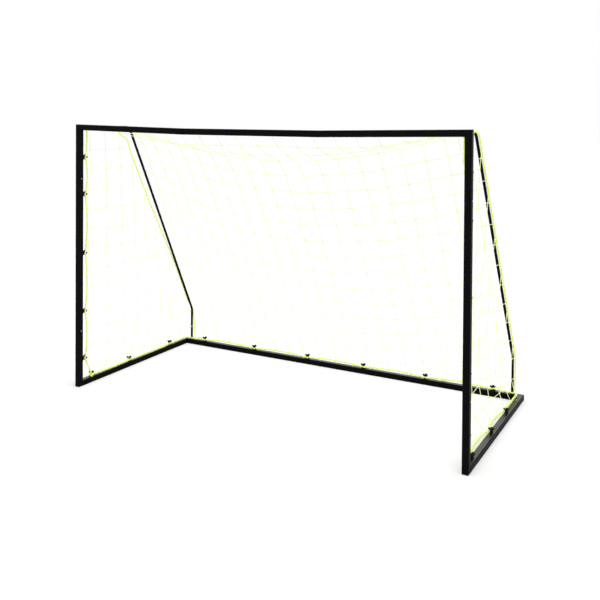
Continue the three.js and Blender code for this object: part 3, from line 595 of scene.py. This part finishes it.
def mirrored_back(holds, middle_bow):
    """The same holds on the other side, walked the other way."""
    turned = []
    for i in range(len(holds) - 1, -1, -1):
        bow = middle_bow if i == len(holds) - 1 else np.array(holds[i + 1][1]) * FLIP
        turned.append((np.array(holds[i][0]) * FLIP, bow))
    return turned


def mouth_holds(side):
    """Holds from a side bar's first hook, up the post and along the crossbar to its middle."""
    meeting = SIDE_HOOK_PLACES[side][0] - ROPE_MEETING
    first, *others = POST_HOOK_HEIGHTS
    corner_z = GOAL_HEIGHT - crossbar_rope_drop
    turn = ROPE_CORNER_TURN
    holds = [
        ((post_rope_x, meeting, ground_rope_z + ROPE_ACROSS + 2), STRAIGHT),
        ((post_rope_x, mouth_rope_y, first), STRAIGHT),
        *(((post_rope_x, mouth_rope_y, z), (-POST_ROPE_BOW[side], 0, 0)) for z in others),
        ((corner_x, mouth_rope_y, GOAL_HEIGHT - ROPE_CORNER_DROP), STRAIGHT),
        ((corner_x, mouth_rope_y, corner_z - turn), STRAIGHT),
        ((corner_x - turn / 4, mouth_rope_y, corner_z - turn / 4), STRAIGHT),
        ((corner_x - turn, mouth_rope_y, corner_z), STRAIGHT),
    ]
    for x in BAR_HOOK_PLACES:
        holds.append(((x, mouth_rope_y, corner_z - crossbar_sag(x)), CROSSBAR_ROPE_BOW))
    return holds


mouth_route = held_route(
    mouth_holds("right") + mirrored_back(mouth_holds("left"), CROSSBAR_ROPE_BOW)
)

side_rope_x = POST_X - HOOK_SIDE_GAP
rear_rope_y = REAR_Y - HOOK_SIDE_GAP
past_foot_y = REAR_Y - STAY_RADIUS - ROPE_ACROSS


def ground_holds(side):
    """Holds from the front of a side bar, round the stay's foot, to the middle of the rear bar."""
    inward = (-SIDE_ROPE_BOW, 0, SIDE_ROPE_BOW / 4)
    hooks = SIDE_HOOK_PLACES[side]
    holds = [((side_rope_x, hooks[0] - ROPE_MEETING / 2, ground_rope_z), STRAIGHT)]
    holds += [((side_rope_x, hooks[0], ground_rope_z), STRAIGHT)]
    holds += [((side_rope_x, y, ground_rope_z), inward) for y in hooks[1:]]
    holds += [
        ((side_rope_x, past_foot_y - TUBE, ground_rope_z), STRAIGHT),
        ((side_rope_x - ROPE_ACROSS, past_foot_y, ground_rope_z), STRAIGHT),
        ((HALF_WIDTH - 2 * STAY_FOOT_INSET, past_foot_y, ground_rope_z), STRAIGHT),
    ]
    return holds + [((x, rear_rope_y, ground_rope_z), REAR_ROPE_BOW) for x in BAR_HOOK_PLACES]


ground_route = held_route(
    ground_holds("right") + mirrored_back(ground_holds("left"), REAR_ROPE_BOW)
)


def stay_point(y, z):
    """The point of the right stay's upright plane at a depth and a height."""
    share = (y - TUBE) / (REAR_Y - TUBE)
    inset = STAY_TOP_INSET + (STAY_FOOT_INSET - STAY_TOP_INSET) * share
    return np.array((HALF_WIDTH - inset, y, z))


stay_heading = stay_point(REAR_Y, 0) - stay_point(TUBE, 0)
stay_heading /= np.linalg.norm(stay_heading)
stay_across = np.array((stay_heading[1], -stay_heading[0], 0))
crossbar_z = GOAL_HEIGHT - TUBE / 2


def stay_corners(offset):
    """The stay's front, top bend, knee and foot, moved outwards from the tube's middle line."""
    slope = np.array((REAR_Y - STAY_RETURN, STAY_KNEE - crossbar_z))
    slope /= np.linalg.norm(slope)
    outward = np.array((-slope[1], slope[0]))
    top_shift = offset * (1 - outward[1]) / slope[1]
    knee_shift = offset * (1 - outward[0]) / slope[0]
    return (
        (TUBE, crossbar_z + offset),
        (STAY_RETURN + outward[0] * offset + slope[0] * top_shift, crossbar_z + offset),
        (REAR_Y + offset, STAY_KNEE + outward[1] * offset + slope[1] * knee_shift),
        (REAR_Y + offset, TUBE),
    )


def rounded(corners, radius, steps=8):
    """A route of straight legs with each corner rounded."""
    points = [corners[0]]
    for before, here, after in zip(corners[:-2], corners[1:-1], corners[2:]):
        back = (before - here) / np.linalg.norm(before - here)
        on = (after - here) / np.linalg.norm(after - here)
        half = math.acos(np.clip(back @ on, -1, 1)) / 2
        start = here + back * radius / math.tan(half)
        end = here + on * radius / math.tan(half)
        middle = (back + on) / np.linalg.norm(back + on)
        centre = here + middle * radius / math.sin(half)
        for step in range(steps + 1):
            ray = start + (end - start) * step / steps - centre
            points.append(centre + ray / np.linalg.norm(ray) * radius)
    points.append(corners[-1])
    return np.array(points)


SEAM_ASIDE = STAY_RADIUS + ROPE_REACH + FIT_GAP
SEAM_OUTWARD = 2.0  # above or behind the stay's middle line
front, top, knee, foot = stay_corners(SEAM_OUTWARD)
seam_end = TUBE + NET_FRONT_GAP
seam_foot_z = seam_end + ROPE_ACROSS
seam_route = rounded(
    [
        stay_point(seam_end, front[1]) + stay_across * SEAM_ASIDE,
        stay_point(*top) + stay_across * SEAM_ASIDE,
        stay_point(*knee) + stay_across * SEAM_ASIDE,
        stay_point(foot[0], seam_foot_z) + stay_across * SEAM_ASIDE,
    ],
    STAY_BEND,
)
foot_x = HALF_WIDTH - STAY_FOOT_INSET
tied_y = past_foot_y + 2 * ROPE_REACH  # a seam's foot is sewn to the ground rope here
tied_z = ground_rope_z + 4
seam_route = np.vstack([seam_route, (foot_x + SEAM_ASIDE + 1, tied_y, tied_z)])

# The left seam hangs off its stay down to where it lies beside it again, and at the foot it
# crosses behind. Its points are given as if on the right, the first ones as depth and height.
SLIPPED_LINE = (
    (seam_end, 1568), (300, 1568), (331, 1531), (380, 1511), (402, 1483), (423, 1426),
    (533, 1229), (631, 1053),
)
slipped = [
    *((SLIPPED_X, y, z) for y, z in SLIPPED_LINE),
    (SLIPPED_X + 3, 738, 885),
    *(point for point in spaced(seam_route, 40.0) if 300 < point[2] < 620),
    (foot_x + 3, REAR_Y + 18, 241),
    (foot_x - 13, REAR_Y + 13, 155),
    (foot_x - 22, REAR_Y + 8, seam_foot_z),
    (foot_x - 27, tied_y, tied_z),
]
slipped_route = np.array(slipped) * FLIP

# Laid polyethylene: the strands' fine fibres catch the light. The dye is fluorescent yellow,
# and a weak emission in that colour is a painted glow that makes the rope look brighter.
FIBRE_MM = 0.5
DYE_CLOUDS_PER_METRE = 30.0
laid_rope = empty_material("laid_fluorescent_yellow_polyethylene_rope_with_painted_glow")
rope_place = add_node(laid_rope, "ShaderNodeTexCoord")
rope_fibre = add_node(
    laid_rope,
    "ShaderNodeTexNoise",
    values={"Scale": 1000 / FIBRE_MM, "Detail": 2.0, "Roughness": 0.6},
    links={"Vector": rope_place.outputs["Object"]},
)
rope_cloud = add_node(
    laid_rope,
    "ShaderNodeTexNoise",
    values={"Scale": DYE_CLOUDS_PER_METRE, "Detail": 2.0},
    links={"Vector": rope_place.outputs["Object"]},
)
rope_tone = add_node(
    laid_rope,
    "ShaderNodeMath",
    {"operation": "ADD", "use_clamp": True},
    links={0: rope_fibre.outputs["Fac"], 1: rope_cloud.outputs["Fac"]},
)
rope_colour = add_node(laid_rope, "ShaderNodeValToRGB", links={"Fac": rope_tone.outputs[0]})
rope_colour.color_ramp.elements[0].position = 0.7
rope_colour.color_ramp.elements[0].color = linear("#DDF23A")
rope_colour.color_ramp.elements[1].color = linear("#EEFF62")
rope_bump = add_node(
    laid_rope,
    "ShaderNodeBump",
    values={"Strength": 0.5, "Distance": 0.0003},
    links={"Height": rope_fibre.outputs["Fac"]},
)
# Its emission is the painted glow, in the rope's own colour.
rope_shader = add_node(
    laid_rope,
    "ShaderNodeBsdfPrincipled",
    values={"Roughness": 0.55, "IOR": 1.5, "Sheen Weight": 0.2, "Emission Strength": 0.15},
    links={
        "Base Color": rope_colour.outputs["Color"],
        "Emission Color": rope_colour.outputs["Color"],
        "Normal": rope_bump.outputs["Normal"],
    },
)
finish_with(laid_rope, rope_shader)


def stopper_knot(end, heading, thickness):
    """An overhand knot pulled tight on a rope's end, with a short tail past it."""
    heading, side, up = square_to(heading)
    loops = []
    for share in np.linspace(-0.25, 1.25, 40):
        angle = share * 2 * math.pi
        radius = thickness * (0.62 + 0.42 * math.cos(1.5 * angle) ** 2)
        along = thickness * (1.2 * share + 0.55 * math.sin(1.5 * angle))
        ray = math.cos(angle) * side + math.sin(angle) * up
        loops.append(end + heading * along + radius * ray)
    tail = loops[-1] + heading * thickness * 2.2
    path = spaced([end - heading * thickness, *loops, tail], thickness * 0.35)
    return swept(path, np.array(STRAND_SECTION) * thickness / 2, 2 * math.pi / ROPE_LAY)


def border_rope(name, route, stands_for, knotted=True):
    """A laid rope along a route. A free end has a stopper knot; a seam's ends are sewn on."""
    path = spaced(route, ROPE_RING_STEP)
    section = np.array(STRAND_SECTION) * ROPE_ACROSS / 2
    parts = [swept(path, section, 2 * math.pi / ROPE_LAY)]
    if knotted:
        parts.append(stopper_knot(path[0], path[0] - path[4], ROPE_ACROSS))
        parts.append(stopper_knot(path[-1], path[-1] - path[-5], ROPE_ACROSS))
    rope = add_piece(name, mesh_of(name, parts), laid_rope)
    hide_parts(stands_for)


border_rope("laid_mouth_rope", mouth_route, "mouth_rope")
border_rope("laid_ground_rope", ground_route, "ground_rope")
border_rope("laid_seam_rope_right", seam_route, "seam_rope_right", knotted=False)
border_rope("laid_seam_rope_left", slipped_route, "seam_rope_left", knotted=False)

# ---------------------------------------------------------------------------
# Net: twisted polyethylene cord, about 3 mm across, knotted by machine to a square
# mesh of about 120 mm. It hangs slack under its own weight from the ropes, so its
# shape is found by letting the knots fall until their cords hold them.
# ---------------------------------------------------------------------------

CORD_SECTION = [CORD_ACROSS / 2] * 6
WRAP_SECTION = [CORD_ACROSS / 2] * 5  # for the small turns of knots, eyes and edge cords
CORD_STEPS = 4
END_RING_STEP = 3.0
HANG = (0, 0, -1.0)  # how far a cord's middle hangs off the line between its knots
HANG_SPREAD = 0.6
MESH_ACROSS = 120.2
MESH_DOWN = 118.0
BACK_COLUMNS = 19  # columns of loose knots between the two stays
BACK_ROWS = 17  # rows of loose knots between the crossbar and the rear bar
MIDDLE_COLUMN = 13.0  # the middle column hangs this far to the right of the goal's middle
FIRST_DROP = 90.0  # from the crossbar's rope down to the first row
BACK_SLACK = 1.002  # a cord's length as a share of the gap it spans
SIDE_SLACK = 1.01
EDGE_SLACK = 5.0  # spare length of a cord that ends on a stay
BACK_VARIANCE = (0.995, 1.005)  # no two cords are quite the same length
SIDE_VARIANCE = (0.99, 1.015)
SIDE_COLUMNS = 60.0 + 124.0 * np.arange(9)  # depths of a side panel's columns of knots
SIDE_ROWS = 133.0 + 119.5 * np.arange(13)  # heights of its rows
SIDE_TOP_GAP = 40.0  # a row stays this far below the seam's front
SIDE_REAR_GAP = 12.0  # and a knot this far in front of the seam
BACK_PULL = (0, 0, -0.8)  # how far a loose knot falls in the first round
SIDE_PULL = (-0.35, 0, -0.8)
OVER_RELAXATION = 1.6
KNOT_COIL = 2.7  # radius of a knot's wrap round the crossing cords
KNOT_TURNS = 1.75
KNOT_RINGS = 15
EYE_RINGS = 14
GROUND_REST = 5.0  # a knot that touches the ground lies this high
draw = np.random.default_rng(11)


def settle(knots, held, cords, lengths, weight, rounds, easings):
    """Lets loose knots fall until the cords between them, which can't stretch, hold them."""
    knots = knots.copy()
    a, b = cords[:, 0], cords[:, 1]
    free = ~held
    share_a = np.where(free[a] & free[b], 0.5, np.where(free[a], 1.0, 0.0))[:, None]
    share_b = np.where(free[a] & free[b], 0.5, np.where(free[b], 1.0, 0.0))[:, None]
    touching = np.bincount(np.concatenate([a, b]), minlength=len(knots))[:, None].clip(1)
    for turn in range(rounds):
        fade = 1 - turn / rounds
        knots[free] += np.asarray(weight) * fade
        for _ in range(easings):
            span = knots[b] - knots[a]
            reach = np.linalg.norm(span, axis=1)[:, None]
            over = np.maximum(reach - lengths[:, None], 0) / reach
            pull = np.zeros_like(knots)
            np.add.at(pull, a, span * over * share_a)
            np.add.at(pull, b, -span * over * share_b)
            knots += pull / touching * OVER_RELAXATION
        knots[free, 2] = np.maximum(knots[free, 2], GROUND_REST)
    return knots


def on_route(route, shares):
    """Points at shares of a route's length."""
    run = run_along(route)
    return at_runs(route, run, np.asarray(shares) * run[-1])


def crossing(route, axis, value, last=False):
    """Where a route reaches a value on one axis, or comes nearest to it."""
    ahead = route[:, axis] - np.clip(value, route[:, axis].min() + 0.1, route[:, axis].max() - 0.1)
    swaps = np.nonzero(ahead[:-1] * ahead[1:] <= 0)[0]
    i = swaps[-1 if last else 0]
    share = ahead[i] / (ahead[i] - ahead[i + 1]) if ahead[i] != ahead[i + 1] else 0.0
    return route[i] + (route[i + 1] - route[i]) * share


# Back net: one sheet from the crossbar, over the crowns of the stays and down to the rear bar.
stay_route = rounded([stay_point(y, z) for y, z in stay_corners(0)], STAY_BEND)
stay_length = run_along(stay_route)[-1]
row_shares = (FIRST_DROP + MESH_DOWN * np.arange(BACK_ROWS)) / stay_length


def round_stay(share, degrees):
    """A point on a cord that lies over the right stay, at an angle up from the outer side."""
    before, middle, after = on_route(stay_route, [share - 0.002, share, share + 0.002])
    heading = (after - before) / np.linalg.norm(after - before)
    outward = np.cross(stay_across, heading)
    reach = STAY_RADIUS + CORD_ACROSS / 2 + FIT_GAP
    angle = math.radians(degrees)
    return middle + reach * (math.cos(angle) * stay_across + math.sin(angle) * outward)


crowns = np.array([round_stay(share, 90) for share in row_shares])
crowns = np.concatenate([[seam_route[0]], crowns, [seam_route[-1]]])
column_places = MIDDLE_COLUMN + MESH_ACROSS * (np.arange(BACK_COLUMNS) - (BACK_COLUMNS - 1) / 2)
back_knots = np.zeros((BACK_ROWS + 2, BACK_COLUMNS + 2, 3))
for row, crown in enumerate(crowns):
    back_knots[row] = crown
    back_knots[row, 0, 0] = -crown[0]
    back_knots[row, 1:-1, 0] = column_places
bar_rope = mouth_route[mouth_route[:, 2] > GOAL_HEIGHT - ROPE_CORNER_DROP / 2]
rear_rope = ground_route[ground_route[:, 1] > past_foot_y - 1]
for column in range(1, BACK_COLUMNS + 1):
    for row, route in ((0, bar_rope), (-1, rear_rope)):
        back_knots[row, column] = crossing(route, 0, back_knots[row, column, 0])
back_flat = back_knots.reshape(-1, 3)
back_index = np.arange(len(back_flat)).reshape(back_knots.shape[:2])
back_held = np.zeros(back_knots.shape[:2], bool)
back_held[[0, -1]] = True
back_held[:, [0, -1]] = True
across_cords = np.stack([back_index[1:-1, :-1], back_index[1:-1, 1:]], 2)
down_cords = np.stack([back_index[:-1, 1:-1], back_index[1:, 1:-1]], 2)
across_lengths = np.full(across_cords.shape[:2], MESH_ACROSS * BACK_SLACK)
for edge, inner in ((0, 1), (-1, -2)):
    reach = np.linalg.norm(back_knots[1:-1, edge] - back_knots[1:-1, inner], axis=1)
    across_lengths[:, edge] = reach + EDGE_SLACK
down_lengths = np.full(down_cords.shape[:2], MESH_DOWN)
down_lengths[0] = FIRST_DROP
down_lengths[-1] = stay_length - FIRST_DROP - MESH_DOWN * (BACK_ROWS - 1)
back_cords = np.concatenate([across_cords.reshape(-1, 2), down_cords.reshape(-1, 2)])
back_lengths = np.concatenate([across_lengths.ravel(), down_lengths.ravel()])
back_lengths *= draw.uniform(*BACK_VARIANCE, len(back_lengths))
back_settled = settle(
    back_flat, back_held.ravel(), back_cords, back_lengths, BACK_PULL, rounds=1000, easings=20
)


def side_net(side, own_seam):
    """Knots and cords of a side panel: a square mesh cut off along the ropes that hold it."""
    knots, held, cords, knot_at = [], [], [], {}

    def knot(point, is_held):
        """Adds a knot and gives its number."""
        knots.append(np.asarray(point, float))
        held.append(is_held)
        return len(knots) - 1

    sign = 1 if side == "right" else -1
    half = mouth_route[mouth_route[:, 0] * sign > 0] * (sign, 1, 1)
    post_rope = half[half[:, 0] > corner_x - ROPE_CORNER_INSET]
    half = ground_route[ground_route[:, 0] * sign > 0] * (sign, 1, 1)
    side_rope = half[half[:, 0] > side_rope_x - ROPE_ACROSS - SIDE_ROPE_BOW]
    high = own_seam[:, 2].max()
    for i, y in enumerate(SIDE_COLUMNS):
        for j, z in enumerate(SIDE_ROWS):
            if z > high - SIDE_TOP_GAP:
                continue
            rear = crossing(own_seam, 2, z, last=True)
            if y < rear[1] - SIDE_REAR_GAP:
                share = (y - mouth_rope_y) / (rear[1] - mouth_rope_y)
                x = post_rope_x + (rear[0] - post_rope_x) * share
                knot_at[i, j] = knot((x, y, z), False)
    for (i, j), here in knot_at.items():
        y, z = SIDE_COLUMNS[i], SIDE_ROWS[j]
        for rearward, upward in ((1, 0), (0, 1)):
            other = knot_at.get((i + rearward, j + upward))
            if other is not None:
                cords.append((here, other))
            elif rearward:
                cords.append((here, knot(crossing(own_seam, 2, z, last=True), True)))
            else:
                cords.append((here, knot(crossing(own_seam, 1, y), True)))
        if i == 0:
            cords.append((knot(crossing(post_rope, 2, z), True), here))
        if j == 0:
            cords.append((knot(crossing(side_rope, 1, y), True), here))
    knots, held, cords = np.array(knots), np.array(held), np.array(cords)
    lengths = np.linalg.norm(knots[cords[:, 0]] - knots[cords[:, 1]], axis=1)
    lengths *= SIDE_SLACK * draw.uniform(*SIDE_VARIANCE, len(lengths))
    settled = settle(knots, held, cords, lengths, SIDE_PULL, rounds=900, easings=6)
    return settled * (sign, 1, 1), held, cords


def cord_between(start, end, hang):
    """A thin cord from knot to knot, with the slight hang that slack leaves in it."""
    shares = np.linspace(0, 1, CORD_STEPS + 1)[:, None]
    path = start + (end - start) * shares + hang * 4 * shares * (1 - shares)
    return swept(path, CORD_SECTION)


def wrapped_knot(middle, heading):
    """A machine knot: a cord wound nearly twice round the crossing."""
    heading, side, up = square_to(heading)
    turn = np.linspace(0, KNOT_TURNS * 2 * math.pi, KNOT_RINGS)[:, None]
    along = np.linspace(-1, 1, KNOT_RINGS)[:, None] * CORD_ACROSS * 0.9
    path = middle + heading * along + KNOT_COIL * (np.cos(turn) * side + np.sin(turn) * up)
    return swept(path, WRAP_SECTION)


def eye_round(middle, heading, radius):
    """A loop of the net's cord round a rope that runs along a heading."""
    _, side, up = square_to(heading)
    turn = np.arange(EYE_RINGS)[:, None] / EYE_RINGS * 2 * math.pi
    path = middle + radius * (np.cos(turn) * side + np.sin(turn) * up)
    return swept(path, WRAP_SECTION, closed=True)


def rope_heading(point):
    """The heading of the border rope nearest to a point."""
    best, heading = math.inf, None
    for route in (mouth_route, ground_route, seam_route, slipped_route):
        gap = np.linalg.norm(route - point, axis=1)
        i = int(np.argmin(gap))
        if gap[i] < best:
            best, heading = gap[i], route[min(i + 1, len(route) - 1)] - route[max(i - 1, 0)]
    return heading


def knotted_net(name, knots, held, cords, stands_for, ends=None):
    """A net's cords and knots as one piece, with an eye round the rope at each held knot."""
    parts = []
    for a, b in cords:
        hang = draw.normal(0, HANG_SPREAD, 3) + HANG
        parts.append(cord_between(knots[a], knots[b], hang))
    heading_at = {}
    for a, b in cords:
        heading_at.setdefault(a, knots[b] - knots[a])
        heading_at.setdefault(b, knots[a] - knots[b])
    for i in heading_at:
        tied = knots[i]
        if ends and i in ends:
            path = spaced([knots[i], *ends[i]], END_RING_STEP)
            parts.append(swept(path, CORD_SECTION))
            tied = ends[i][-1]
        if held[i]:
            parts.append(eye_round(tied, rope_heading(tied), (ROPE_ACROSS + CORD_ACROSS) / 2))
        else:
            parts.append(wrapped_knot(knots[i], heading_at[i]))
    net = add_piece(name, mesh_of(name, parts), net_cord)
    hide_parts(*stands_for)


# Twisted polyethylene cord: pale fluorescent yellow, slightly waxy, with fine fibres.
# Its weak emission in its own colour is a painted glow that makes the cord look brighter.
CORD_FIBRE_MM = 0.6
net_cord = empty_material("twisted_fluorescent_yellow_polyethylene_cord")
cord_place = add_node(net_cord, "ShaderNodeTexCoord")
cord_fibre = add_node(
    net_cord,
    "ShaderNodeTexNoise",
    values={"Scale": 1000 / CORD_FIBRE_MM, "Detail": 2.0},
    links={"Vector": cord_place.outputs["Object"]},
)
cord_colour = add_node(net_cord, "ShaderNodeValToRGB", links={"Fac": cord_fibre.outputs["Fac"]})
cord_colour.color_ramp.elements[0].color = linear("#EEF898")
cord_colour.color_ramp.elements[1].color = linear("#FAFFC8")
cord_bump = add_node(
    net_cord,
    "ShaderNodeBump",
    values={"Strength": 0.4, "Distance": 0.0002},
    links={"Height": cord_fibre.outputs["Fac"]},
)
cord_shader = add_node(
    net_cord,
    "ShaderNodeBsdfPrincipled",
    values={"Roughness": 0.5, "IOR": 1.5, "Sheen Weight": 0.15, "Emission Strength": 0.2},
    links={
        "Base Color": cord_colour.outputs["Color"],
        "Emission Color": cord_colour.outputs["Color"],
        "Normal": cord_bump.outputs["Normal"],
    },
)
finish_with(net_cord, cord_shader)

# Beyond the crown of a stay, each row goes on down its outer side to the seam's rope. Below
# the height where the left seam crosses behind the stay, the row meets it straight away.
SEAM_BEHIND_BELOW = 250.0
row_ends = {}
for row, share in enumerate(row_shares, start=1):
    for column, own_seam, degrees in ((0, slipped_route, (60, 30)), (-1, seam_route, (60,))):
        over = [round_stay(share, angle) * (FLIP if column == 0 else 1) for angle in degrees]
        fine_seam = spaced(own_seam, 4.0)
        nearest = fine_seam[np.argmin(np.linalg.norm(fine_seam - over[-1], axis=1))]
        if abs(nearest[0]) < abs(over[0][0]) and nearest[2] < SEAM_BEHIND_BELOW:
            over = []
        row_ends[back_index[row, column]] = [*over, nearest]

knotted_net(
    "knotted_back_net",
    back_settled,
    back_held.ravel(),
    back_cords,
    ("top_net", "back_net_upper", "back_net_lower"),
    row_ends,
)
for side in SIDES:
    own_seam = seam_route if side == "right" else slipped_route * FLIP
    knotted_net(f"knotted_side_net_{side}", *side_net(side, own_seam), (f"side_net_{side}",))

# The net's edge cord is wound along every rope and sews the panels on.
WINDING_PITCH = 28.0
WINDING_STEPS = 8


def wound_cord(name, route):
    """The edge cord wound along a rope, one turn to each pitch."""
    path = spaced(route, WINDING_PITCH / WINDING_STEPS)
    across, up = carried_frames(path)
    turn = np.arange(len(path))[:, None] / WINDING_STEPS * 2 * math.pi
    winding = path + (ROPE_ACROSS + CORD_ACROSS) / 2 * (np.cos(turn) * across + np.sin(turn) * up)
    cord = add_piece(name, mesh_of(name, [swept(winding, WRAP_SECTION)]), net_cord)


wound_cord("edge_cord_mouth", mouth_route)
wound_cord("edge_cord_ground", ground_route)
wound_cord("edge_cord_right_stay", seam_route)
wound_cord("edge_cord_left_stay", slipped_route)
